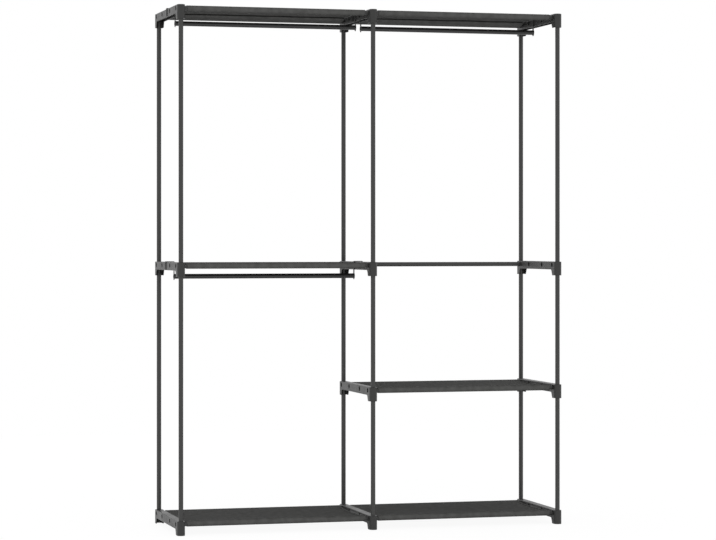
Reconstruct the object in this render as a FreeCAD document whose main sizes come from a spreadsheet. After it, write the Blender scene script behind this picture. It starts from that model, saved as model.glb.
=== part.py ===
import FreeCAD, Part
import math
import os
import Sketcher

# Open frame wardrobe: moulded side frames joined by steel tubes, fabric shelves on sleeves round the
# cross tubes, and hanging rails that hook over the side frames. Millimetres. The origin is on the floor,
# under the middle of the frame: +X to the right, +Y to the back, +Z up.

SIZES = [
    ("overall_height", 1700, "floor to the top of the top side frames"),
    ("lower_level", 419, "underside of the side frames of the lower shelf"),
    ("middle_level", 828, "underside of the side frames at mid height"),
    ("bay_pitch", 638.5, "post plane to post plane, left to right"),
    ("post_pitch", 372, "front post axis to back post axis"),
    ("frame_height", 46, "side frame at its post sockets"),
    ("bar_height", 26.5, "side frame between its post sockets"),
    ("frame_width", 26, "side frame across, left to right"),
    ("frame_wall", 2.2, "moulded flank"),
    ("top_wall", 2.4, "moulded top"),
    ("rib_wall", 1.6, "ribs inside the moulding"),
    ("rib_count", 5, "cross ribs inside the bar"),
    ("rib_pitch", 44, "cross rib to cross rib"),
    ("socket_reach", 16, "post socket's flank, inwards from the post axis, at its foot"),
    ("socket_slope", 26, "lean of that flank's free edge, degrees from upright"),
    ("notch_radius", 8, "corner between the bar and the post socket"),
    ("top_round", 2, "rounded upper edge of the side frame"),
    ("foot_round", 1, "rounded lower edge of the side frame"),
    ("tube_diameter", 15, "posts and cross tubes, outside"),
    ("tube_wall", 0.8, "posts and cross tubes"),
    ("tube_fit", 0.15, "clearance round a tube in its socket"),
    ("end_play", 0.2, "clearance at a tube's end"),
    ("boss_wall", 1.8, "wall of a tube socket inside the moulding"),
    ("socket_stop", 2, "web between the two tubes that meet in a side frame"),
    ("post_depth", 20, "how far a post goes down into the side frame below it"),
    ("tube_spacing", 4, "gap between a post and the cross tube beside it"),
    ("cross_drop", 11, "cross tube axis below the top of the side frame"),
    ("spare_pitch", 132, "one spare tube socket to the other"),
    ("fabric", 1.2, "shelf cloth with its coating"),
    ("sleeve_clearance", 0.3, "cloth above its cross tube"),
    ("sleeve_slack", 1.2, "extra room in a sleeve, below its cross tube"),
    ("sleeve_gap", 10, "side frame to the end of a sleeve"),
    ("shelf_sag", 4, "dip of a shelf in the middle"),
    ("rail_diameter", 16, "hanging rail, outside"),
    ("rail_wall", 0.8, "hanging rail"),
    ("rail_drop", 47, "rail axis below the top of the side frame"),
    ("rail_stagger", 18, "how far the two top rails stand off the middle, front and back"),
    ("hook_width", 9, "strap of a rail hook, front to back"),
    ("hook_thickness", 2, "strap and end plate of a rail hook"),
    ("hook_clearance", 0.3, "hook round the bar that it saddles"),
    ("hook_tuck", 1.5, "end of the hook's outer leg above the underside of the bar"),
    ("hook_round", 2.5, "outer bends of the strap"),
    ("plate_radius", 9.5, "hook's end plate behind the rail"),
    ("plate_drop", 9, "lower tip of the end plate below the rail axis, at the centre of its round"),
    ("plate_tip", 3, "radius of that tip"),
    ("spigot_length", 18, "hook's plug inside the rail"),
    ("spigot_fit", 0.1, "clearance round that plug"),
    ("spigot_wall", 1.6, "wall and end of that plug, which is cored from outside"),
]

doc = FreeCAD.newDocument("wardrobe")
sheet = doc.addObject("Spreadsheet::Sheet", "sizes")
for row, (alias, value, meaning) in enumerate(SIZES, 1):
    sheet.set(f"A{row}", str(value))
    sheet.setAlias(f"A{row}", alias)
    sheet.set(f"B{row}", meaning)
doc.recompute()

V = FreeCAD.Vector
ORIGIN, ACROSS_AXIS, UP_AXIS = (-1, 1), -1, -2  # what a sketch calls its own origin and axes
NEAR = 1e-4  # lengths closer than this count as equal


def size(alias):
    """A driving size, as the sheet holds it."""
    return float(sheet.get(alias))


def linked(text):
    """An expression in the sheet's words, with each word tied to its cell."""
    words = sorted((alias for alias, _, _ in SIZES), key=len, reverse=True)
    for number, word in enumerate(words):
        text = text.replace(word, f"#{number}#")
    for number, word in enumerate(words):
        text = text.replace(f"#{number}#", f"sizes.{word}")
    return text


def new_body(label):
    """An empty body whose label names its file."""
    body = doc.addObject("PartDesign::Body", label)
    body.Label = label
    return body


def place(thing, x="0", y="0", z="0"):
    """Tie a piece's place to the sheet."""
    for axis, text in zip("xyz", (x, y, z)):
        thing.setExpression(f"Placement.Base.{axis}", linked(text))


def plane(body, role):
    """One of a body's own origin planes."""
    return next(item for item in body.Origin.OriginFeatures if item.Role == role)


def new_sketch(body, name, role, lift=None):
    """A sketch on one of the body's origin planes, lifted off it by a linked size."""
    sketch = body.newObject("Sketcher::SketchObject", f"{body.Name}_{name}")
    sketch.AttachmentSupport = [(plane(body, role), "")]
    sketch.MapMode = "FlatFace"
    if lift:
        sketch.setExpression("AttachmentOffset.Base.z", linked(lift))
    return sketch


def constrain(sketch, kind, *where, value=None, text=None):
    """Add a constraint and, for a size, tie it to the sheet."""
    if text is None:
        sketch.addConstraint(Sketcher.Constraint(kind, *where))
        return
    index = sketch.addConstraint(Sketcher.Constraint(kind, *where, value))
    name = f"size_{index}"
    sketch.renameConstraint(index, name)
    sketch.setExpression(f"Constraints.{name}", linked(text))


def add_circle(sketch, centre, radius):
    """A circle; centre is two (value, expression) pairs and radius is one."""
    (x, x_text), (y, y_text) = centre
    index = sketch.addGeometry(Part.Circle(V(x, y, 0), V(0, 0, 1), radius[0]), False)
    constrain(sketch, "Radius", index, value=radius[0], text=radius[1])
    ways = (("DistanceX", x, x_text, UP_AXIS), ("DistanceY", y, y_text, ACROSS_AXIS))
    for kind, offset, text, axis in ways:
        if text == "0":
            constrain(sketch, "PointOnObject", index, 3, axis)
        elif offset > 0:
            constrain(sketch, kind, *ORIGIN, index, 3, value=offset, text=text)
        else:
            constrain(sketch, kind, index, 3, *ORIGIN, value=-offset, text=text)
    return index


def add_polygon(sketch, points):
    """A closed outline; each point is two (value, expression) pairs, tied to the sketch's origin."""
    flat = [V(x[0], y[0], 0) for x, y in points]
    lines = [Part.LineSegment(a, b) for a, b in zip(flat, flat[1:] + flat[:1])]
    first = sketch.addGeometry(lines, False)[0]
    for step in range(len(lines)):
        following = (step + 1) % len(lines)
        constrain(sketch, "Coincident", first + step, 2, first + following, 1)
    for step, point in enumerate(points):
        for kind, (offset, text), axis in zip(("DistanceX", "DistanceY"), point, (UP_AXIS, ACROSS_AXIS)):
            if text == "0":
                constrain(sketch, "PointOnObject", first + step, 1, axis)
            elif offset > 0:
                constrain(sketch, kind, *ORIGIN, first + step, 1, value=offset, text=text)
            else:
                constrain(sketch, kind, first + step, 1, *ORIGIN, value=-offset, text=text)
    return first


def add_stadium(sketch, radius, pitch):
    """Two half circles joined by straight flanks, along the sketch's second axis."""
    reach = pitch[0] / 2
    front = Part.ArcOfCircle(Part.Circle(V(0, -reach, 0), V(0, 0, 1), radius[0]), -math.pi, 0)
    right = Part.LineSegment(V(radius[0], -reach, 0), V(radius[0], reach, 0))
    back = Part.ArcOfCircle(Part.Circle(V(0, reach, 0), V(0, 0, 1), radius[0]), 0, math.pi)
    left = Part.LineSegment(V(-radius[0], reach, 0), V(-radius[0], -reach, 0))
    sketch.addGeometry([front, right, back, left], False)
    for piece in range(4):
        constrain(sketch, "Tangent", piece, 2, (piece + 1) % 4, 1)
    for arc in (0, 2):
        constrain(sketch, "PointOnObject", arc, 3, UP_AXIS)
    constrain(sketch, "Equal", 0, 2)
    constrain(sketch, "Radius", 0, value=radius[0], text=radius[1])
    constrain(sketch, "DistanceY", *ORIGIN, 2, 3, value=reach, text=f"({pitch[1]}) / 2")
    constrain(sketch, "DistanceY", 0, 3, *ORIGIN, value=reach, text=f"({pitch[1]}) / 2")


def add_pad(body, sketch, name, length, both_ways=False, reverse=False):
    """Raise a sketch by a linked length."""
    pad = body.newObject("PartDesign::Pad", f"{body.Name}_{name}")
    pad.Profile = sketch
    pad.setExpression("Length", linked(length))
    pad.Midplane = both_ways
    pad.Reversed = reverse
    body.Tip = pad
    return pad


def add_pocket(body, sketch, name, length=None, both_ways=False, reverse=False):
    """Cut a sketch into the body, by a linked length or right through."""
    pocket = body.newObject("PartDesign::Pocket", f"{body.Name}_{name}")
    pocket.Profile = sketch
    if length:
        pocket.setExpression("Length", linked(length))
    else:
        pocket.Type = "ThroughAll"
    pocket.Midplane = both_ways
    pocket.Reversed = reverse
    body.Tip = pocket
    return pocket


def add_fillet(body, name, radius, wanted):
    """Round the edges of the body's tip that the test picks."""
    doc.recompute()
    base = body.Tip
    edges = [f"Edge{index}" for index, edge in enumerate(base.Shape.Edges, 1) if wanted(edge)]
    fillet = body.newObject("PartDesign::Fillet", f"{body.Name}_{name}")
    fillet.Base = (base, edges)
    fillet.setExpression("Radius", linked(radius))
    body.Tip = fillet
    return fillet


def flat_at(edge, height):
    """Whether an edge lies level at a height."""
    box = edge.BoundBox
    return abs(box.ZMin - height) < NEAR and abs(box.ZMax - height) < NEAR


HALF_PITCH = "post_pitch / 2"
TUBE_BORE = "(tube_diameter / 2 + tube_fit)"
BOSS_RADIUS = "(tube_diameter / 2 + tube_fit + boss_wall)"
CROSS_PLACE = "(post_pitch / 2 - tube_diameter - tube_spacing)"
CROSS_HEIGHT = "(frame_height - cross_drop)"
NOTCH_HEIGHT = "(frame_height - bar_height)"
POST_SEAT = "(frame_height - post_depth)"


def number(text):
    """The value of an expression in the sheet's words, for a sketch's first guess."""
    value = sheet.evalExpression(linked(text).replace("sizes.", ""))
    return float(getattr(value, "Value", value))


def pair(text, sign=1):
    """A value with its expression, as the sketch helpers take it."""
    return sign * number(text), text


def make_side_frame(label, x, z, closed_top):
    """A moulded side frame: a hollow bar, open below, with a post socket at each end."""
    body = new_body(label)

    outline = new_sketch(body, "outline", "XY_Plane")
    add_stadium(outline, pair("frame_width / 2"), pair("post_pitch"))
    add_pad(body, outline, "block", "frame_height")
    top = size("frame_height")
    add_fillet(body, "top_edge", "top_round", lambda edge: flat_at(edge, top))
    add_fillet(body, "foot_edge", "foot_round", lambda edge: flat_at(edge, 0))

    # The notch under the bar leans in towards the bar, as the socket's flanks do.
    lean = f"{NOTCH_HEIGHT} * tan(socket_slope * 1 deg)"
    wide = pair("post_pitch / 2 - socket_reach")
    narrow = pair(f"post_pitch / 2 - socket_reach - {lean}")
    roof = pair(NOTCH_HEIGHT)
    floor = (0, "0")
    notch = new_sketch(body, "notch", "YZ_Plane")
    corners = [((-wide[0], wide[1]), floor), (wide, floor), (narrow, roof), ((-narrow[0], narrow[1]), roof)]
    add_polygon(notch, corners)
    add_pocket(body, notch, "notch_cut", both_ways=True)
    inner = narrow[0] + NEAR
    add_fillet(body, "notch_corner", "notch_radius", lambda edge: flat_at(edge, roof[0])
               and edge.BoundBox.YLength < NEAR and abs(edge.BoundBox.YMin) < inner)

    hollow = new_sketch(body, "hollow", "XY_Plane")
    add_stadium(hollow, pair("frame_width / 2 - frame_wall"), pair("post_pitch"))
    add_pocket(body, hollow, "hollow_cut", "frame_height - top_wall", reverse=True)

    # Rings take the posts; a rib across each socket, split by its bore, steadies the post from below.
    rings = new_sketch(body, "rings", "XY_Plane", lift=NOTCH_HEIGHT)
    for side in (-1, 1):
        add_circle(rings, ((0, "0"), pair(HALF_PITCH, side)), pair(BOSS_RADIUS))
    add_pad(body, rings, "ring_pad", "bar_height - top_wall / 2")
    ribs = new_sketch(body, "ribs", "XY_Plane", lift="foot_round")
    across = pair("frame_width / 2 - frame_wall / 2")
    near = pair("post_pitch / 2 - rib_wall / 2")
    far = pair("post_pitch / 2 + rib_wall / 2")
    for side in (-1, 1):
        points = [((-across[0], across[1]), (side * near[0], near[1])), (across, (side * near[0], near[1])),
                  (across, (side * far[0], far[1])), ((-across[0], across[1]), (side * far[0], far[1]))]
        add_polygon(ribs, points)
    add_pad(body, ribs, "rib_pad", f"{NOTCH_HEIGHT} - foot_round + rib_wall")

    # Bosses for the cross tubes run from flank to flank inside the bar.
    bosses = new_sketch(body, "bosses", "YZ_Plane")
    for reach in (CROSS_PLACE, "spare_pitch / 2"):
        for side in (-1, 1):
            add_circle(bosses, (pair(reach, side), pair(CROSS_HEIGHT)), pair(BOSS_RADIUS))
    add_pad(body, bosses, "boss_pad", "frame_width - frame_wall", both_ways=True)

    # Cross ribs stiffen the bar between its flanks.
    rib = new_sketch(body, "cross_rib", "YZ_Plane")
    first = "rib_pitch * (rib_count - 1) / 2"
    low = pair(f"{NOTCH_HEIGHT} + frame_wall")
    high = pair("frame_height - top_wall / 2")
    start = pair(f"{first} + rib_wall / 2", -1)
    end = pair(f"{first} - rib_wall / 2", -1)
    add_polygon(rib, [(start, low), (end, low), (end, high), (start, high)])
    rib_pad = add_pad(body, rib, "cross_rib_pad", "frame_width - frame_wall", both_ways=True)
    row = body.newObject("PartDesign::LinearPattern", f"{body.Name}_cross_ribs")
    row.Originals = [rib_pad]
    row.Direction = (rib, ["H_Axis"])
    row.setExpression("Length", linked("rib_pitch * (rib_count - 1)"))
    row.setExpression("Occurrences", linked("rib_count"))
    body.Tip = row
    doc.recompute()

    # Sockets: posts from above and below, cross tubes from both flanks, with a web left as their stop.
    holes = [("post_hole_below", "0", f"{POST_SEAT} - socket_stop")]
    if not closed_top:
        holes.append(("post_hole_above", POST_SEAT, "post_depth"))
    for name, lift, depth in holes:
        hole = new_sketch(body, name, "XY_Plane", lift=lift)
        for side in (-1, 1):
            add_circle(hole, ((0, "0"), pair(HALF_PITCH, side)), pair(TUBE_BORE))
        add_pocket(body, hole, f"{name}_cut", depth, reverse=True)
    bores = new_sketch(body, "bores", "YZ_Plane", lift="socket_stop / 2")
    for reach in (CROSS_PLACE, "spare_pitch / 2"):
        for side in (-1, 1):
            add_circle(bores, (pair(reach, side), pair(CROSS_HEIGHT)), pair(TUBE_BORE))
    cut = add_pocket(body, bores, "bore_cut", "frame_width / 2", reverse=True)
    both = body.newObject("PartDesign::Mirrored", f"{body.Name}_both_flanks")
    both.Originals = [cut]
    both.MirrorPlane = (plane(body, "YZ_Plane"), [""])
    body.Tip = both
    place(body, x=x, z=z)
    return body


def make_tube(label, role, outside, wall, length):
    """A straight steel tube: a ring drawn on an origin plane and raised from it."""
    body = new_body(label)
    ring = new_sketch(body, "ring", role)
    add_circle(ring, ((0, "0"), (0, "0")), pair(f"{outside} / 2"))
    add_circle(ring, ((0, "0"), (0, "0")), pair(f"{outside} / 2 - {wall}"))
    add_pad(body, ring, "wall", length)
    return body


def make_shelf(label):
    """A cloth shelf: a slack panel with a sewn sleeve along its front and its back."""
    body = new_body(label)
    length = "bay_pitch - frame_width - 2 * sleeve_gap"
    inside = pair("tube_diameter / 2 + sleeve_clearance")
    outside = pair("tube_diameter / 2 + sleeve_clearance + fabric")
    bore = pair("tube_diameter / 2 + sleeve_clearance + sleeve_slack / 2")
    shell = pair("tube_diameter / 2 + sleeve_clearance + sleeve_slack / 2 + fabric")
    reach = pair(CROSS_PLACE)
    level = pair("sleeve_slack / 2", -1)

    sleeves = new_sketch(body, "sleeves", "YZ_Plane")
    for side in (-1, 1):
        add_circle(sleeves, ((side * reach[0], reach[1]), level), shell)
    add_pad(body, sleeves, "sleeve_pad", length, both_ways=True)

    # The panel's two faces are arcs of one radius, a cloth's thickness apart.
    bend = pair(f"({CROSS_PLACE} ^ 2 + shelf_sag ^ 2) / (2 * shelf_sag)")
    panel = new_sketch(body, "panel", "YZ_Plane")
    dip = size("shelf_sag")
    for height in (outside[0], inside[0]):
        arc = Part.Arc(V(-reach[0], height, 0), V(0, height - dip, 0), V(reach[0], height, 0))
        panel.addGeometry(arc, False)
    for side in (-1, 1):
        edge = Part.LineSegment(V(side * reach[0], inside[0], 0), V(side * reach[0], outside[0], 0))
        panel.addGeometry(edge, False)
    for arc, edge_end in ((0, 2), (1, 1)):
        constrain(panel, "Coincident", arc, 1, 2, edge_end)
        constrain(panel, "Coincident", arc, 2, 3, edge_end)
        constrain(panel, "Radius", arc, value=bend[0], text=bend[1])
    for edge, side in ((2, -1), (3, 1)):
        near, far = ((edge, 1), ORIGIN) if side < 0 else (ORIGIN, (edge, 1))
        constrain(panel, "Vertical", edge)
        constrain(panel, "DistanceX", *near, *far, value=reach[0], text=reach[1])
        constrain(panel, "DistanceY", *ORIGIN, edge, 1, value=inside[0], text=inside[1])
        constrain(panel, "DistanceY", edge, 1, edge, 2, value=size("fabric"), text="fabric")
    add_pad(body, panel, "panel_pad", length, both_ways=True)

    bores = new_sketch(body, "sleeve_bores", "YZ_Plane")
    for side in (-1, 1):
        add_circle(bores, ((side * reach[0], reach[1]), level), bore)
    add_pocket(body, bores, "sleeve_bore", both_ways=True)
    return body


SADDLE = "(frame_width / 2 + hook_clearance)"
SADDLE_OUTER = "(frame_width / 2 + hook_clearance + hook_thickness)"


def make_hook(label):
    """A rail hook: a strap over the bar, an end plate, and a cored plug for the rail. +X faces the rail."""
    body = new_body(label)
    inner = pair(SADDLE)
    outer = pair(SADDLE_OUTER)
    seat = pair("hook_clearance")
    crown = pair("hook_clearance + hook_thickness")
    leg = pair("bar_height - hook_tuck", -1)
    axis = pair("rail_drop", -1)

    strap = new_sketch(body, "strap", "XZ_Plane")
    add_polygon(strap, [((-outer[0], outer[1]), leg), ((-outer[0], outer[1]), crown), (outer, crown),
                        (outer, axis), (inner, axis), (inner, seat), ((-inner[0], inner[1]), seat),
                        ((-inner[0], inner[1]), leg)])
    add_pad(body, strap, "strap_pad", "hook_width", both_ways=True)
    add_fillet(body, "strap_bends", "hook_round", lambda edge: flat_at(edge, crown[0])
               and edge.BoundBox.XLength < NEAR)

    # The end plate is a drop: a round behind the rail, drawn down to a small round tip.
    plate = new_sketch(body, "plate", "YZ_Plane", lift=SADDLE)
    round_, tip = size("plate_radius"), size("plate_tip")
    depth = size("plate_drop")
    slope = (round_ - tip) / depth
    flank = (1 - slope ** 2) ** 0.5
    turn = math.asin(slope)
    centre, low = V(0, axis[0], 0), V(0, axis[0] - depth, 0)
    side = V(flank, -slope, 0)
    mirror = V(-flank, -slope, 0)
    plate.addGeometry([
        Part.ArcOfCircle(Part.Circle(centre, V(0, 0, 1), round_), -turn, math.pi + turn),
        Part.LineSegment(centre + mirror * round_, low + mirror * tip),
        Part.ArcOfCircle(Part.Circle(low, V(0, 0, 1), tip), math.pi + turn, 2 * math.pi - turn),
        Part.LineSegment(low + side * tip, centre + side * round_)], False)
    for piece in range(4):
        constrain(plate, "Tangent", piece, 2, (piece + 1) % 4, 1)
    for arc, radius in ((0, "plate_radius"), (2, "plate_tip")):
        constrain(plate, "PointOnObject", arc, 3, UP_AXIS)
        constrain(plate, "Radius", arc, value=size(radius), text=radius)
    constrain(plate, "DistanceY", 0, 3, *ORIGIN, value=-axis[0], text=axis[1])
    constrain(plate, "DistanceY", 2, 3, 0, 3, value=depth, text="plate_drop")
    add_pad(body, plate, "plate_pad", "hook_thickness")

    plug = new_sketch(body, "plug", "YZ_Plane", lift=SADDLE)
    add_circle(plug, ((0, "0"), axis), pair("rail_diameter / 2 - rail_wall - spigot_fit"))
    add_pad(body, plug, "plug_pad", "hook_thickness + spigot_length")
    core = new_sketch(body, "core", "YZ_Plane", lift=SADDLE)
    add_circle(core, ((0, "0"), axis), pair("rail_diameter / 2 - rail_wall - spigot_fit - spigot_wall"))
    add_pocket(body, core, "core_cut", "hook_thickness + spigot_length - spigot_wall", reverse=True)
    return body


LEVELS = {
    "floor": "0",
    "lower": "lower_level",
    "mid": "middle_level",
    "top": "(overall_height - frame_height)",
}
COLUMNS = {"left": "-bay_pitch", "centre": "0", "right": "bay_pitch"}
BAYS = {"left": "(-bay_pitch / 2)", "right": "(bay_pitch / 2)"}
DEPTHS = {"front": "-1", "back": "1"}
FRAMES = {
    "left": ("floor", "mid", "top"),
    "centre": ("floor", "lower", "mid", "top"),
    "right": ("floor", "lower", "mid", "top"),
}
SHELVES = [("floor", "left"), ("floor", "right"), ("lower", "right"),
           ("mid", "left"), ("top", "left"), ("top", "right")]
LONE_TUBES = [("mid", "right", "back")]
RAILS = {("mid", "left"): "0", ("top", "left"): "-rail_stagger", ("top", "right"): "rail_stagger"}

pieces = []
for column, levels in FRAMES.items():
    for level in levels:
        name = f"side_frame_{level}_{column}"
        pieces.append(make_side_frame(name, COLUMNS[column], LEVELS[level], closed_top=level == "top"))

for column, levels in FRAMES.items():
    for below, above in zip(levels, levels[1:]):
        seat = f"{LEVELS[below]} + {POST_SEAT}"
        stop = f"{LEVELS[above]} + {POST_SEAT} - socket_stop"
        for depth, sign in DEPTHS.items():
            name = f"post_{depth}_{column}_{below}_to_{above}"
            length = f"{stop} - ({seat}) - end_play"
            post = make_tube(name, "XY_Plane", "tube_diameter", "tube_wall", length)
            place(post, x=COLUMNS[column], y=f"{sign} * {HALF_PITCH}", z=seat)
            pieces.append(post)

cross_tubes = [(level, bay, depth) for level, bay in SHELVES for depth in DEPTHS] + LONE_TUBES
for level, bay, depth in cross_tubes:
    name = f"cross_tube_{level}_{bay}_{depth}"
    length = "bay_pitch - socket_stop - 2 * end_play"
    tube = make_tube(name, "YZ_Plane", "tube_diameter", "tube_wall", length)
    place(tube, x=f"{BAYS[bay]} - bay_pitch / 2 + socket_stop / 2 + end_play",
          y=f"{DEPTHS[depth]} * {CROSS_PLACE}", z=f"{LEVELS[level]} + {CROSS_HEIGHT}")
    pieces.append(tube)

for level, bay in SHELVES:
    shelf = make_shelf(f"shelf_{level}_{bay}")
    place(shelf, x=BAYS[bay], z=f"{LEVELS[level]} + {CROSS_HEIGHT}")
    pieces.append(shelf)

for (level, bay), depth in RAILS.items():
    top = f"{LEVELS[level]} + frame_height"
    reach = f"(bay_pitch / 2 - {SADDLE_OUTER})"
    length = f"2 * {reach} - 2 * end_play"
    rail = make_tube(f"rail_{level}_{bay}", "YZ_Plane", "rail_diameter", "rail_wall", length)
    place(rail, x=f"{BAYS[bay]} - {reach} + end_play", y=depth, z=f"{top} - rail_drop")
    pieces.append(rail)
    for end, sign in (("left", -1), ("right", 1)):
        hook = make_hook(f"rail_hook_{level}_{bay}_{end}")
        hook.Placement.Rotation = FreeCAD.Rotation(V(0, 0, 1), 0 if sign < 0 else 180)
        place(hook, x=f"{BAYS[bay]} + {sign} * bay_pitch / 2", y=depth, z=top)
        pieces.append(hook)

doc.recompute()
for item in doc.Objects:
    if "Invalid" in item.State or "Error" in item.State:
        raise RuntimeError(f"{item.Label} did not build: {item.State}")
for piece in pieces:
    if piece.Shape.isNull() or not piece.Shape.isValid() or len(piece.Shape.Solids) != 1:
        raise RuntimeError(f"{piece.Label} is not one sound solid")

os.makedirs("parts", exist_ok=True)
for piece in pieces:
    piece.Shape.exportStep(f"parts/{piece.Label}.step")
box = Part.makeCompound([piece.Shape for piece in pieces]).BoundBox
print(len(pieces), "pieces,", f"{box.XLength:.1f} x {box.YLength:.1f} x {box.ZLength:.1f} mm")
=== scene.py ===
# %% [markdown]
# # An open frame wardrobe with cloth shelves
#
# The real object is a push-fit clothes rack: steel tubes plug into moulded plastic side frames,
# cloth shelves hang on the cross tubes by sewn sleeves, and three hanging rails hook over the bars.
# The rigid pieces arrive finished from CAD, at their real size and place. What is left for this
# lesson is what a camera sees of them: the finish of plastic and steel, and the cloth, which is
# sewn and slack.

# %% Load the rigid pieces
import math

import bpy
import numpy as np
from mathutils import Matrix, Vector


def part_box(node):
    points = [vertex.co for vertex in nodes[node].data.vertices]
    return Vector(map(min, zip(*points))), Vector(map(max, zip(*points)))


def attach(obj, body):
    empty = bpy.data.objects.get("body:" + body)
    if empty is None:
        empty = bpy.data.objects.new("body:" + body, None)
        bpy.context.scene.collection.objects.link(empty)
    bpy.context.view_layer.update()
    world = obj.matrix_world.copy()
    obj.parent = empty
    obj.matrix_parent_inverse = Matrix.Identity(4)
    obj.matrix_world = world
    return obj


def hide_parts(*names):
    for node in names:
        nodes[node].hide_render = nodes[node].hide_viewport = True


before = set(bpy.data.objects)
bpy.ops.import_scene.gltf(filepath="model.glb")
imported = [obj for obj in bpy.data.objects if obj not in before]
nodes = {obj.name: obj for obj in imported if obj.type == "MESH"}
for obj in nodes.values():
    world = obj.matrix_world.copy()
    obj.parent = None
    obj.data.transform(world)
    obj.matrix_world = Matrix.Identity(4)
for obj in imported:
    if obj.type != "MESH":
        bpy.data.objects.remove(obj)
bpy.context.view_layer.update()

# %% [markdown]
# ## Camera
#
# The photograph was taken with a long lens, level, a little to the left of the rack and at about
# chest height. A level camera keeps the posts upright, and a small shift slides the picture down to
# frame the rack. The yaw, the place and the lens come from fitting the posts and the bars to their
# real sizes.

# %% Camera
PICTURE_WIDTH = 716
FOCAL_PIXELS = 2513.2
HORIZON_ABOVE_CENTRE = 29.5
SENSOR = 36
CAMERA_PLACE = (-2.2218, -8.0886, 0.9443)
CAMERA_YAW = math.radians(15.36)

camera = bpy.data.objects.new("camera", bpy.data.cameras.new("camera"))
bpy.context.scene.collection.objects.link(camera)
bpy.context.scene.camera = camera
camera.location = CAMERA_PLACE
camera.rotation_euler = (math.pi / 2, 0, -CAMERA_YAW)
camera.data.sensor_width = SENSOR
camera.data.lens = FOCAL_PIXELS / PICTURE_WIDTH * SENSOR
camera.data.shift_y = -HORIZON_ABOVE_CENTRE / PICTURE_WIDTH
bpy.context.scene.view_settings.view_transform = "Standard"
print(f"lens {camera.data.lens:.1f} mm, shift {camera.data.shift_y:.4f}")

# %% [markdown]
# ## Three small helpers for materials
#
# Colours are easiest to read as the hex values of a paint program, but a renderer adds light in
# linear numbers, so one function converts them. A second function adds a node, sets it and links it
# in one go. A third starts a material from the constants of its shader.

# %% Colour and node helpers
MM = 0.001


def hex_colour(text):
    """Linear RGBA of an sRGB hex colour: the display curve is undone channel by channel."""
    levels = [int(text[i:i + 2], 16) / 255 for i in (1, 3, 5)]
    linear = [v / 12.92 if v <= 0.04045 else ((v + 0.055) / 1.055) ** 2.4 for v in levels]
    return (*linear, 1)


def add_node(tree, kind, inputs=None, **settings):
    """A node with its settings; each input is given a value, or a socket to link from."""
    node = tree.nodes.new(kind)
    for name, value in settings.items():
        setattr(node, name, value)
    for name, value in (inputs or {}).items():
        if isinstance(value, bpy.types.NodeSocket):
            tree.links.new(value, node.inputs[name])
        else:
            node.inputs[name].default_value = value
    return node


def new_material(name, **constants):
    """A material whose shader has these constants on its sockets, with its tree and that shader."""
    material = bpy.data.materials.new(name)
    material.use_nodes = True
    tree = material.node_tree
    shader = tree.nodes["Principled BSDF"]
    for socket, value in constants.items():
        shader.inputs[socket.replace("_", " ")].default_value = value
    return material, tree, shader


# %% [markdown]
# ## Steps that the finishes share
#
# Plastic, paint and cloth differ in their sizes and colours, but a camera sees the same few things
# in each: an unevenness of a real size, two near colours mixed by it, a value that drifts with it,
# and a relief of a real depth. Each is one node, so each is one short function.

# %% Finish helpers
FACTOR, COLOUR_A, COLOUR_B, MIXED = 0, 6, 7, 2  # sockets of a Mix node for colours
NOISE_LOW, NOISE_HIGH = 0.3, 0.7  # nearly all of a noise texture lies between these


def per_metre(millimetres):
    """A texture's Scale for a pattern of that size."""
    return 1 / (millimetres * MM)


def noise(tree, place, millimetres, detail):
    """Noise from 0 to 1 whose coarsest features have that size."""
    inputs = {"Vector": place, "Scale": per_metre(millimetres), "Detail": detail}
    return add_node(tree, "ShaderNodeTexNoise", inputs).outputs["Fac"]


def two_tone(tree, shader, share, first, second):
    """Colour the shader with a mix of two hex colours; at share 0 it is the first."""
    inputs = {FACTOR: share, COLOUR_A: hex_colour(first), COLOUR_B: hex_colour(second)}
    mix = add_node(tree, "ShaderNodeMix", inputs, data_type="RGBA")
    tree.links.new(mix.outputs[MIXED], shader.inputs["Base Color"])


def drift(tree, value, low=0.0, high=1.0):
    """A noise stretched to run from low to high."""
    return add_node(tree, "ShaderNodeMapRange", {
        "Value": value, "From Min": NOISE_LOW, "From Max": NOISE_HIGH,
        "To Min": low, "To Max": high}).outputs["Result"]


def relief(tree, height, millimetres, strength):
    """A bump of that depth; its Normal input is free for another one below it."""
    return add_node(tree, "ShaderNodeBump", {
        "Height": height, "Strength": strength, "Distance": millimetres * MM})


# %% [markdown]
# ## Moulded polypropylene
#
# The side frames and the rail hooks are injection mouldings. The mould was spark eroded, which
# leaves a fine satin grain, and the melt's flow leaves faint clouds in the colour. Satin plastic
# mirrors little when it is seen square on, and much at a grazing angle: that is why the flanks that
# face the picture's left look far paler than the fronts, though they are one colour. The real grain
# is about 0.2 mm; it is drawn at 1.5 mm, so that it shows at all.

# %% Moulded polypropylene
GRAIN_MM = 1.5
GRAIN_DEPTH_MM = 0.03
FLOW_MM = 70
FLOW_DRIFT = 0.04


def moulded_plastic(name, dark, pale, roughness):
    """Satin moulding: colour and roughness drift in flow clouds, over a fine grain."""
    material, tree, shader = new_material(name, IOR=1.49)
    place = add_node(tree, "ShaderNodeTexCoord").outputs["Object"]
    flow = noise(tree, place, FLOW_MM, detail=3.0)
    grain = relief(tree, noise(tree, place, GRAIN_MM, detail=2.0), GRAIN_DEPTH_MM, strength=0.2)
    two_tone(tree, shader, flow, dark, pale)
    rough = drift(tree, flow, roughness - FLOW_DRIFT, roughness + FLOW_DRIFT)
    tree.links.new(rough, shader.inputs["Roughness"])
    tree.links.new(grain.outputs["Normal"], shader.inputs["Normal"])
    return material


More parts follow.
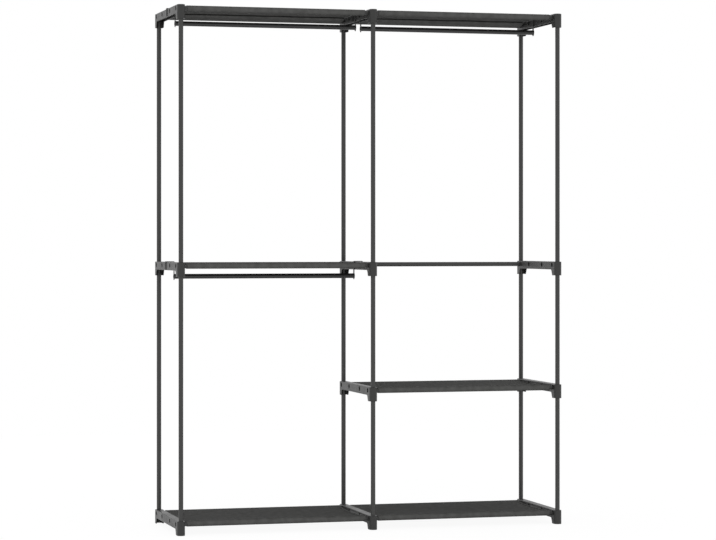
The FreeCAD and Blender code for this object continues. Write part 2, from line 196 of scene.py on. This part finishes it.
frame_plastic = moulded_plastic("moulded_polypropylene_grey", "#1b1b1a", "#212120", 0.42)
hook_plastic = moulded_plastic("moulded_polypropylene_black", "#171717", "#1c1c1c", 0.45)
print("made", frame_plastic.name, "and", hook_plastic.name)

# %% [markdown]
# ## Powder coated steel
#
# The tubes are thin steel with a baked powder coat. Powder melts into a skin with a soft ripple,
# the orange peel, a couple of millimetres from crest to crest, and its pigment leaves a very fine
# speckle. The coat is an insulator, so the shader is not metallic.

# %% Powder coated steel
PEEL_MM = 2.2
PEEL_DEPTH_MM = 0.02
SPECKLE_MM = 0.8
SPECKLE_DRIFT = 0.05


def powder_coat(name, dark, pale, roughness):
    """Baked powder: pigment speckle between two colours and an orange peel ripple."""
    material, tree, shader = new_material(name, IOR=1.5)
    place = add_node(tree, "ShaderNodeTexCoord").outputs["Object"]
    speck = noise(tree, place, SPECKLE_MM, detail=4.0)
    peel = relief(tree, noise(tree, place, PEEL_MM, detail=1.0), PEEL_DEPTH_MM, strength=0.2)
    two_tone(tree, shader, speck, dark, pale)
    rough = drift(tree, speck, roughness - SPECKLE_DRIFT, roughness + SPECKLE_DRIFT)
    tree.links.new(rough, shader.inputs["Roughness"])
    tree.links.new(peel.outputs["Normal"], shader.inputs["Normal"])
    return material


tube_steel = powder_coat("powder_coated_steel_grey", "#262625", "#2c2c2b", 0.4)
rail_steel = powder_coat("powder_coated_steel_black", "#161616", "#1b1b1b", 0.3)
print("made", tube_steel.name, "and", rail_steel.name)

# %% [markdown]
# ## Give the rigid pieces their finish
#
# The CAD pieces keep their meshes. Only their material slots are filled, by the first words of
# their names.

# %% Finish of the rigid pieces
FINISHES = {"side_frame": frame_plastic, "post": tube_steel, "cross_tube": tube_steel,
            "rail_hook": hook_plastic, "rail": rail_steel}

for node_name, node in nodes.items():
    finish = next((FINISHES[word] for word in FINISHES if node_name.startswith(word)), None)
    if finish:
        node.data.materials.clear()
        node.data.materials.append(finish)
print("finished", sum(not name.startswith("shelf") for name in nodes), "rigid pieces")

# %% [markdown]
# ## Non-woven cloth
#
# The shelves are spunbonded polypropylene: loose fibres pressed together by a hot roller with
# raised points, which leaves rows of small bonded dots. Between them the fibres lie in uneven
# clouds. The real dots are about 1.5 mm apart; they are drawn at 3 mm, and the clouds at 22 mm, so
# that they show. The pattern belongs to the cloth and bends with it, so it reads the cloth's own UV
# map, which is in metres.

# %% Non-woven cloth
BOND_MM = 3
BOND_DEPTH_MM = 0.15
BOND_INNER, BOND_OUTER = 0.15, 0.4  # shares of the pitch between which a dot's rim rises
CLOUD_MM = 22
FIBRE_MM = 0.9
FIBRE_DEPTH_MM = 0.1
CLOTH_UV = "cloth"


def nonwoven_cloth(name, dark, pale):
    """Spunbond: clouds of fibre between two colours, pressed dots on a slanted grid, and fuzz."""
    material, tree, shader = new_material(name, IOR=1.49, Roughness=0.95, Specular_IOR_Level=0.03)
    flat = add_node(tree, "ShaderNodeUVMap", uv_map=CLOTH_UV).outputs["UV"]
    slanted = add_node(tree, "ShaderNodeMapping", {"Vector": flat, "Rotation": (0, 0, math.pi / 4)})
    dots = add_node(tree, "ShaderNodeTexVoronoi", {
        "Vector": slanted.outputs["Vector"], "Scale": per_metre(BOND_MM), "Randomness": 0.0},
        voronoi_dimensions="2D")
    pressed = add_node(tree, "ShaderNodeMapRange", {
        "Value": dots.outputs["Distance"], "From Min": BOND_INNER, "From Max": BOND_OUTER})
    two_tone(tree, shader, drift(tree, noise(tree, flat, CLOUD_MM, detail=5.0)), dark, pale)
    fuzz = relief(tree, noise(tree, flat, FIBRE_MM, detail=3.0), FIBRE_DEPTH_MM, strength=0.4)
    bonded = relief(tree, pressed.outputs["Result"], BOND_DEPTH_MM, strength=0.5)
    tree.links.new(fuzz.outputs["Normal"], bonded.inputs["Normal"])
    tree.links.new(bonded.outputs["Normal"], shader.inputs["Normal"])
    return material


shelf_cloth = nonwoven_cloth("nonwoven_polypropylene_grey", "#414140", "#4d4d4c")
print("made", shelf_cloth.name)

# %% [markdown]
# ## Sewing thread
#
# The sleeves and the side hems are closed with a lockstitch in grey polyester. Twisted filament is
# a little glossier than the cloth, so each stitch catches the light.

# %% Sewing thread
TWIST_MM = 0.6


def sewing_thread(name, dark, pale):
    """Twisted filament: fine slanted bands of two near colours."""
    material, tree, shader = new_material(name, IOR=1.54, Roughness=0.5, Sheen_Weight=0.1)
    place = add_node(tree, "ShaderNodeTexCoord").outputs["Object"]
    twist = add_node(tree, "ShaderNodeTexWave", {
        "Vector": place, "Scale": per_metre(TWIST_MM) / (2 * math.pi)}, bands_direction="DIAGONAL")
    two_tone(tree, shader, twist.outputs["Fac"], dark, pale)
    return material


thread = sewing_thread("polyester_thread_grey", "#474746", "#565655")
print("made", thread.name)

# %% [markdown]
# ## Surfaces from arrays
#
# Every cloth piece below is a sheet of points in rows and columns. One helper turns such an array
# into a mesh with a quad between each four neighbours, and lays the cloth's UV map over it, in
# metres. Two more make an object of a mesh and give a sheet its thickness. Nothing visits points
# one by one.

# %% Mesh helpers


def grid_mesh(name, points, uv):
    """A mesh from a (rows, columns, 3) array, with a (rows, columns, 2) array as its UV map."""
    rows, columns = points.shape[:2]
    index = np.arange(rows * columns).reshape(rows, columns)
    corners = [index[:-1, :-1], index[:-1, 1:], index[1:, 1:], index[1:, :-1]]
    quads = np.stack(corners, -1).reshape(-1, 4)
    mesh = bpy.data.meshes.new(name)
    mesh.from_pydata(points.reshape(-1, 3), [], quads)
    mesh.polygons.foreach_set("use_smooth", np.ones(len(quads), bool))
    layer = mesh.uv_layers.new(name=CLOTH_UV)
    layer.data.foreach_set("uv", uv.reshape(-1, 2)[quads.ravel()].astype(np.float32).ravel())
    return mesh


def add_piece(name, mesh, material):
    """An object for a mesh, at the origin and riding on the fixed frame."""
    mesh.materials.append(material)
    piece = bpy.data.objects.new(name, mesh)
    bpy.context.scene.collection.objects.link(piece)
    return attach(piece, "frame")


def thicken(piece, thickness):
    """Give a sheet its thickness, half to each side."""
    solid = piece.modifiers.new("thickness", "SOLIDIFY")
    solid.thickness = thickness
    solid.offset = 0
    return piece


# %% [markdown]
# ## The cut and the lie of one shelf
#
# A shelf is one cloth. Its front and back ends are led round the cross tubes and back under the
# panel, where a seam holds both layers, well in from the tube. That makes a roomy sleeve, easy to
# thread on, and its lower layer hangs as a shallow belly that swells a little past the seam. From
# below that leaves a tight groove between belly and panel, which is the dark line that the
# photograph shows along the top shelves. A sleeve has some play on its tube: in the photograph
# those of the mid and lower shelves hang by a fraction of a millimetre, and the others ride up by
# as much.
#
# The panel dips a few millimetres, with shallow waves from front to back and small puckers along
# the seams. The top shelves are taut, and their side edges bow out towards the bars. The others are
# loose: between the tubes their edges are drawn in and droop, which leaves the spare sockets of the
# side frames in view. All of it is one height field over the panel, so the cloth, the hems and the
# stitches can share it.

# %% Shape of one shelf
CLOTH = 1.1 * MM  # thickness
EASE = 0.6 * MM  # slack of a sleeve round its tube
RIDES, HANGS = 0.5 * MM, -0.4 * MM  # play of a sleeve up or down on its tube
SAG_LOOSE, SAG_TAUT = 4 * MM, 1 * MM
LAYER = 1.2 * MM  # from the middle of one layer to the next
SEAM = 50 * MM  # from a tube's axis to the seam of its sleeve
BELLY_REACH, BELLY_DROP = 26 * MM, 5 * MM  # how the belly leaves the seam: inwards and down
BELLY_FLAT = 0.85  # how the belly nears the tube: level, from this share of the way to the seam
EDGE_ZONE = 60 * MM  # strip along a side edge that bows, is drawn in and droops
BOW, DRAWN, DROOP = 5 * MM, 3 * MM, 3 * MM
BOW_START, BOW_FULL = 0.02, 0.05  # shares of the depth
DROOP_START, WAVE_START = 0.12, 0.16  # shares of the depth that the sleeves hold flat
PUCKER, PUCKER_PITCH, PUCKER_REACH = 0.25 * MM, 14 * MM, 9 * MM
PUCKER_SHIFT, PUCKER_WANDER = 2, 31 * MM  # the puckers' pitch is uneven: radians, and over what way
WAVES = 5
WAVE_HEIGHT = 0.45 * MM
WAVE_LENGTHS_MM = (90, 260)
WAVE_SLANT = 1.5  # radians from front to back


def smooth_step(low, high, value):
    """0 below low, 1 above high, and a smooth S between."""
    t = np.clip((value - low) / (high - low), 0, 1)
    return t * t * (3 - 2 * t)


class Shelf:
    """The measures of one shelf, read from the CAD shelf and its two cross tubes."""

    def __init__(self, place):
        low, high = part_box(f"shelf_{place}")
        tube_low, tube_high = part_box(f"cross_tube_{place}_front")
        back_low, back_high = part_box(f"cross_tube_{place}_back")
        self.place = place
        self.left, self.right = low.x, high.x
        self.middle, self.half = (high.x + low.x) / 2, (high.x - low.x) / 2
        self.front = (tube_low.y + tube_high.y) / 2
        self.back = (back_low.y + back_high.y) / 2
        play = HANGS if place.startswith(("mid", "lower")) else RIDES
        self.axis = (tube_low.z + tube_high.z) / 2 + play
        self.radius = (tube_high.z - tube_low.z + CLOTH) / 2 + EASE
        self.top = self.axis + self.radius
        draw = np.random.default_rng(sum(map(ord, place)))
        self.lengths = draw.uniform(*WAVE_LENGTHS_MM, WAVES) * MM
        self.phases = draw.uniform(0, 2 * math.pi, (3, WAVES))  # rows: waves, puckers, spare
        self.slants = draw.uniform(-WAVE_SLANT, WAVE_SLANT, WAVES)
        self.loose = not place.startswith("top")
        self.sag = SAG_LOOSE if self.loose else SAG_TAUT

    def height(self, x, y):
        """Panel height: tube top, less a parabola of sag and the droop, plus waves and puckers."""
        t = (y - self.front) / (self.back - self.front)
        edge = self.near_edge((x - self.middle) / self.half)
        droop = self.loose * DROOP * self.free(t, DROOP_START) * edge
        phases = self.phases[0] + self.slants * t[..., None]
        turns = 2 * math.pi * x[..., None] / self.lengths + phases
        waves = WAVE_HEIGHT * np.sin(turns).sum(-1) / math.sqrt(WAVES) * self.free(t, WAVE_START)
        near = np.minimum(abs(y - self.front - SEAM), abs(self.back - SEAM - y))
        wander = PUCKER_SHIFT * np.sin(x / PUCKER_WANDER + self.phases[1, 0])
        ripple = np.sin(2 * math.pi * x / PUCKER_PITCH + wander)
        puckers = PUCKER * ripple * np.exp(-(near / PUCKER_REACH) ** 2)
        return self.top - self.sag * 4 * t * (1 - t) - droop + waves + puckers

    def free(self, t, start):
        """How free the panel is at a share t of its depth: 0 on the tubes, 1 from start inwards."""
        return smooth_step(0, start, t) * smooth_step(0, start, 1 - t)

    def near_edge(self, share):
        """0 on the inner panel, rising to 1 at a side edge; share runs from -1 to 1 across."""
        return smooth_step(1 - EDGE_ZONE / self.half, 1, abs(share))

    def bow(self, y, rise):
        """How far a side edge bows out.

        A taut shelf bows out everywhere behind its front tube. A loose one bows out on its tubes
        too, the more the higher on the tube, but the square of a parabola draws it in between them.
        """
        t = (y - self.front) / (self.back - self.front)
        if not self.loose:
            return BOW * smooth_step(BOW_START, BOW_FULL, t)
        return BOW * rise - DRAWN * (4 * np.clip(t * (1 - t), 0, None)) ** 2

    def across(self, share, y, rise=1.0):
        """x at a share from -1 to 1 across, bowed near the side edges; rise is 1 on the panel."""
        shift = np.sign(share) * self.near_edge(share) * self.bow(y, rise)
        return self.middle + self.half * share + shift


shelves = [Shelf(name[len("shelf_"):]) for name in sorted(nodes) if name.startswith("shelf_")]
print(len(shelves), "shelves, each", f"{(shelves[0].right - shelves[0].left) / MM:.0f} mm wide")

# %% [markdown]
# ## The cloth itself
#
# The section is one path: from the front seam along the belly, round the front tube, over the
# panel, and the same way mirrored at the back. The belly's sewn end follows the panel's dips and
# waves, and its end at the tube doesn't. Carried from the left edge to the right, the path gives
# the whole cloth as one grid, and its length is the length that was cut.

# %% Cloth of the shelves
BELLY_STEPS, TURN_STEPS, PANEL_STEPS, ACROSS_STEPS = 26, 22, 72, 132


def sleeve_section(shelf):
    """y and z of one sleeve, from its sewn end to the tube's top; y runs inwards from the tube.

    The belly is a Bezier curve of four corners: it leaves the seam inwards and down, and reaches
    the tube's bottom level. Half a turn up the tube's outer side follows. The third result is how
    far each point follows the panel's height: the square of what is left of the belly, and 0 on
    the tube.
    """
    sewn, bottom = shelf.top - LAYER, shelf.axis - shelf.radius
    corners = np.array([[SEAM, sewn], [SEAM + BELLY_REACH, sewn - BELLY_DROP],
                        [SEAM * BELLY_FLAT, bottom], [0, bottom]])
    s = np.linspace(0, 1, BELLY_STEPS + 1)
    weights = [(1 - s) ** 3, 3 * s * (1 - s) ** 2, 3 * s ** 2 * (1 - s), s ** 3]
    belly = np.stack(weights, -1) @ corners
    angle = np.linspace(-0.5 * math.pi, -1.5 * math.pi, TURN_STEPS + 1)[1:]
    turn = shelf.radius * np.stack([np.cos(angle), np.sin(angle)], -1) + (0, shelf.axis)
    y, z = np.concatenate([belly, turn]).T
    return y, z, np.concatenate([(1 - s) ** 2, np.zeros(TURN_STEPS)])


def cloth_points(shelf):
    """Grid of the whole cloth, and its UV: distance across, and arc length along the section."""
    sleeve_y, sleeve_z, follows = sleeve_section(shelf)
    panel_y = np.linspace(shelf.front, shelf.back, PANEL_STEPS + 1)[1:-1]
    section_y = np.concatenate([shelf.front + sleeve_y, panel_y, (shelf.back - sleeve_y)[::-1]])
    section_z = np.concatenate([sleeve_z, np.full(len(panel_y), shelf.top), sleeve_z[::-1]])
    follows = np.concatenate([follows, np.ones(len(panel_y)), follows[::-1]])[:, None]
    share = np.linspace(-1, 1, ACROSS_STEPS + 1)
    rise = smooth_step(shelf.axis, shelf.top, section_z)
    x = shelf.across(share[None, :], section_y[:, None], rise[:, None])
    y = section_y[:, None] + 0 * x
    z = section_z[:, None] + follows * (shelf.height(x, y) - shelf.top)
    along = np.concatenate([[0], np.cumsum(np.hypot(np.diff(section_y), np.diff(section_z)))])
    uv = np.stack([x - shelf.left, along[:, None] + 0 * x], -1)
    return np.stack([x, y, z], -1), uv, along[-1]


for shelf in shelves:
    points, uv, cut = cloth_points(shelf)
    name = f"cloth_{shelf.place}"
    piece = thicken(add_piece(name, grid_mesh(name, points, uv), shelf_cloth), CLOTH)
    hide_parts(f"shelf_{shelf.place}")
    shelf.cut = (shelf.right - shelf.left, cut)
print(f"cut of a shelf: {shelf.cut[0] / MM:.0f} x {shelf.cut[1] / MM:.0f} mm")

# %% [markdown]
# ## Side hems
#
# Left and right, the panel's edge is folded over and sewn down. The fold is a half turn as thick as
# two layers, and the turned-in strip lies on the panel, out of the way of the sleeves. The pull of
# the tubes flattens both ends. It is a profile carried along the panel's edge.

# %% Side hems
HEM = 9 * MM
HEM_SEAM = 6.3 * MM
FOLD_STEPS = 8
HEM_STEPS = 60
HEM_MARGIN = 12 * MM
HEM_FADE = 24 * MM
HEM_SUNK = 0.2 * MM


def hem_points(shelf, side):
    """Grid of a folded hem: half a turn round the edge, then a strip inwards, along the panel.

    Near both tubes it is pulled flat: its fold fades by a smooth step and sinks into the panel.
    """
    y = np.linspace(shelf.front + HEM_MARGIN, shelf.back - HEM_MARGIN, HEM_STEPS + 1)
    full = smooth_step(0, HEM_FADE, np.minimum(y - y[0], y[-1] - y))[:, None]
    edge = shelf.across(np.full_like(y, side), y)
    turn = np.linspace(-math.pi / 2, math.pi / 2, FOLD_STEPS + 1)
    out = np.concatenate([LAYER / 2 * np.cos(turn), [0, 0]])
    up = np.concatenate([LAYER / 2 * (1 + np.sin(turn)), [LAYER, LAYER]])
    inwards = np.concatenate([np.zeros(FOLD_STEPS + 1), [HEM / 2, HEM]])
    x = edge[:, None] - side * inwards
    z = shelf.height(x, y[:, None] + 0 * x) + full * up - (1 - full) * HEM_SUNK
    points = np.stack([x + side * (full * out - (1 - full) * HEM_SUNK), y[:, None] + 0 * x, z], -1)
    walk = np.concatenate([[0], np.cumsum(np.hypot(np.diff(out - inwards), np.diff(up)))])
    uv = np.stack(np.broadcast_arrays(walk, (y - shelf.front)[:, None]), -1)
    return (points, uv) if side < 0 else (points[:, ::-1], uv[:, ::-1])


for shelf in shelves:
    shelf.with_pieces = []
    for word, side in (("left", -1), ("right", 1)):
        name = f"hem_{shelf.place}_{word}"
        points, uv = hem_points(shelf, side)
        hem = thicken(add_piece(name, grid_mesh(name, points, uv), shelf_cloth), CLOTH)
        shelf.with_pieces.append(hem)
print(2 * len(shelves), "hems")

# %% [markdown]
# ## Stitches
#
# Each seam is a row of short thread bridges. One bridge is a little tube that dives into the cloth
# at both ends. All of a shelf's bridges are worked out at once: their midpoints along the seam,
# times the rings of one bridge, times the points of one ring.

# %% Stitches
STITCH_PITCH = 4 * MM
STITCH_LENGTH = 3.2 * MM
THREAD = 0.55 * MM
RINGS, SIDES = 5, 5
SEAM_MARGIN = 4 * MM


def stitch_row(start, end, path):
    """Bridges from start to end along a line; path gives a bridge's points on the cloth.

    A ring at share s of the bridge, from -1 to 1, has the thread's radius and sinks by the thread's
    thickness times s to the fourth.
    """
    middles = np.arange(start, end, STITCH_PITCH)
    share = np.linspace(-1, 1, RINGS)
    along = middles[:, None] + share * STITCH_LENGTH / 2
    centre, forward, up = path(along)
    centre = centre - (THREAD * share ** 4)[None, :, None] * up
    beside = np.cross(forward, up)
    angle = np.linspace(0, 2 * math.pi, SIDES, endpoint=False)
    ring = np.cos(angle)[:, None] * beside + np.sin(angle)[:, None] * up
    return centre[:, :, None, :] + THREAD / 2 * ring


def bridges_mesh(name, rows):
    """One mesh of all bridges: quads between neighbouring rings, and a face on each end."""
    points = np.concatenate(rows)
    count = len(points)
    index = np.arange(count * RINGS * SIDES).reshape(count, RINGS, SIDES)
    here, after = index[:, :-1], np.roll(index, -1, 2)
    quads = np.stack([here, after[:, :-1], after[:, 1:], index[:, 1:]], -1).reshape(-1, 4)
    ends = np.concatenate([index[:, 0, ::-1], index[:, -1]])
    mesh = bpy.data.meshes.new(name)
    mesh.from_pydata(points.reshape(-1, 3), [], quads.tolist() + ends.tolist())
    mesh.polygons.foreach_set("use_smooth", np.ones(len(mesh.polygons), bool))
    return mesh


def seam_path(shelf, y):
    """Bridges along a sleeve's seam, on the panel; the lower thread is hidden in the groove."""
    def path(x):
        z = shelf.height(x, np.full_like(x, y)) + CLOTH / 2
        centre = np.stack([x, np.full_like(x, y), z], -1)
        return centre, np.array([1.0, 0, 0]), np.array([0, 0, 1.0])
    return path


def hem_path(shelf, side, face):
    """Bridges along a side hem, on the turned-in strip or under the panel."""
    up = np.array([0, 0, 1.0 if face == "upper" else -1.0])
    depth = LAYER + CLOTH / 2 if face == "upper" else -CLOTH / 2

    def path(y):
        x = shelf.across(np.full_like(y, side), y) - side * HEM_SEAM
        return np.stack([x, y, shelf.height(x, y) + depth], -1), np.array([0, 1.0, 0]), up
    return path


for shelf in shelves:
    rows = [stitch_row(shelf.left + SEAM_MARGIN, shelf.right - SEAM_MARGIN, seam_path(shelf, y))
            for y in (shelf.front + SEAM, shelf.back - SEAM)]
    start, end = shelf.front + HEM_MARGIN + HEM_FADE, shelf.back - HEM_MARGIN - HEM_FADE
    rows += [stitch_row(start, end, hem_path(shelf, side, face))
             for face in ("upper", "lower") for side in (-1, 1)]
    name = f"stitching_{shelf.place}"
    shelf.with_pieces.append(add_piece(name, bridges_mesh(name, rows), thread))
print(sum(map(len, rows)), "stitches on each shelf")

# %% [markdown]
# ## Floor
#
# The photograph is a studio picture on white. A matt, pale floor lies under the rack, takes its
# soft shadow and throws light up to the undersides. What the camera sees of it is a glow just short
# of white, and a dark grey that takes the light, so both together are white and a faint shadow is
# left. A pale floor with that glow would be far brighter than white and would eat into the thin
# dark edges in front of it. In reflections it glows less than half as much, so that the undersides
# don't turn pale.

# %% Floor
FLOOR_RADIUS = 4.0
FLOOR_DROP = 0.3 * MM
FLOOR_RINGS, FLOOR_SECTORS = 8, 64
FLOOR_PALE, FLOOR_SEEN = "#e6e6e6", "#525252"
GLOW_SEEN = 0.93
GLOW_MIRRORED = 0.36


def disc_points(radius, height):
    """Grid of a flat disc in polar steps: rings from the rim to the middle, each closed."""
    ring, turn = np.meshgrid(np.linspace(radius, 0, FLOOR_RINGS + 1),
                             np.linspace(0, 2 * math.pi, FLOOR_SECTORS + 1), indexing="ij")
    return np.stack([ring * np.cos(turn), ring * np.sin(turn), np.full_like(ring, height)], -1)


def studio_floor(name):
    """Matt pale floor; to the camera a dark one, lifted to white except where a shadow falls."""
    material, tree, shader = new_material(name, Roughness=0.9, Specular_IOR_Level=0.0)
    shader.inputs["Emission Color"].default_value = (1, 1, 1, 1)
    rays = add_node(tree, "ShaderNodeLightPath")
    two_tone(tree, shader, rays.outputs["Is Camera Ray"], FLOOR_PALE, FLOOR_SEEN)
    mirrored = add_node(tree, "ShaderNodeMath", {
        0: rays.outputs["Is Glossy Ray"], 1: GLOW_MIRRORED}, operation="MULTIPLY")
    lifted = add_node(tree, "ShaderNodeMath", {
        0: rays.outputs["Is Camera Ray"], 1: GLOW_SEEN, 2: mirrored.outputs[0]},
        operation="MULTIPLY_ADD")
    tree.links.new(lifted.outputs[0], shader.inputs["Emission Strength"])
    return material


disc = disc_points(FLOOR_RADIUS, -FLOOR_DROP)
floor_mesh = grid_mesh("studio_floor", disc, disc[..., :2])
floor_mesh.materials.append(studio_floor("pale_studio_floor"))
floor = bpy.data.objects.new("studio_floor", floor_mesh)
bpy.context.scene.collection.objects.link(floor)
print("floor of", FLOOR_RADIUS, "m radius")

# %% [markdown]
# ## Light
#
# Light comes from all round: the world lights the rack evenly, and shows as plain white to the
# camera and in reflections. One long strip lamp stands in front, a little to the left, at the
# height of a chair's seat. It reaches in under the top shelves as far as their back sleeves. The
# lamp is hidden from reflections, so that the round tubes keep an even grey, as in the photograph.

# %% World and lamp
AMBIENT = 0.86
LAMP_PLACE = (-1.8, -6.8, 0.5)
LAMP_AIM = (0, 0, 0.8)
LAMP_SIZE = (4.0, 0.4)
LAMP_POWER = 260

world = bpy.data.worlds.new("white_studio")
bpy.context.scene.world = world
world.use_nodes = True
sky = world.node_tree
background = sky.nodes["Background"]
background.inputs["Color"].default_value = (1, 1, 1, 1)
rays = add_node(sky, "ShaderNodeLightPath")
seen = add_node(sky, "ShaderNodeMath", {
    0: rays.outputs["Is Camera Ray"], 1: rays.outputs["Is Glossy Ray"]}, operation="MAXIMUM")
passed = add_node(sky, "ShaderNodeMath", {
    0: seen.outputs[0], 1: rays.outputs["Is Transmission Ray"]}, operation="MAXIMUM")
level = add_node(sky, "ShaderNodeMapRange", {
    "Value": passed.outputs[0], "To Min": AMBIENT, "To Max": 1.0})
sky.links.new(level.outputs["Result"], background.inputs["Strength"])

lamp = bpy.data.objects.new("key_lamp", bpy.data.lights.new("key_lamp", "AREA"))
bpy.context.scene.collection.objects.link(lamp)
lamp.data.shape = "RECTANGLE"
lamp.data.size, lamp.data.size_y = LAMP_SIZE
lamp.data.energy = LAMP_POWER
lamp.visible_glossy = False
lamp.location = LAMP_PLACE
aim = np.array(LAMP_AIM) - np.array(LAMP_PLACE)
tilt = math.acos(-aim[2] / np.linalg.norm(aim))
lamp.rotation_euler = (tilt, 0, math.atan2(aim[1], aim[0]) - math.pi / 2)
print("lamp at", LAMP_PLACE, "of", LAMP_POWER, "W")
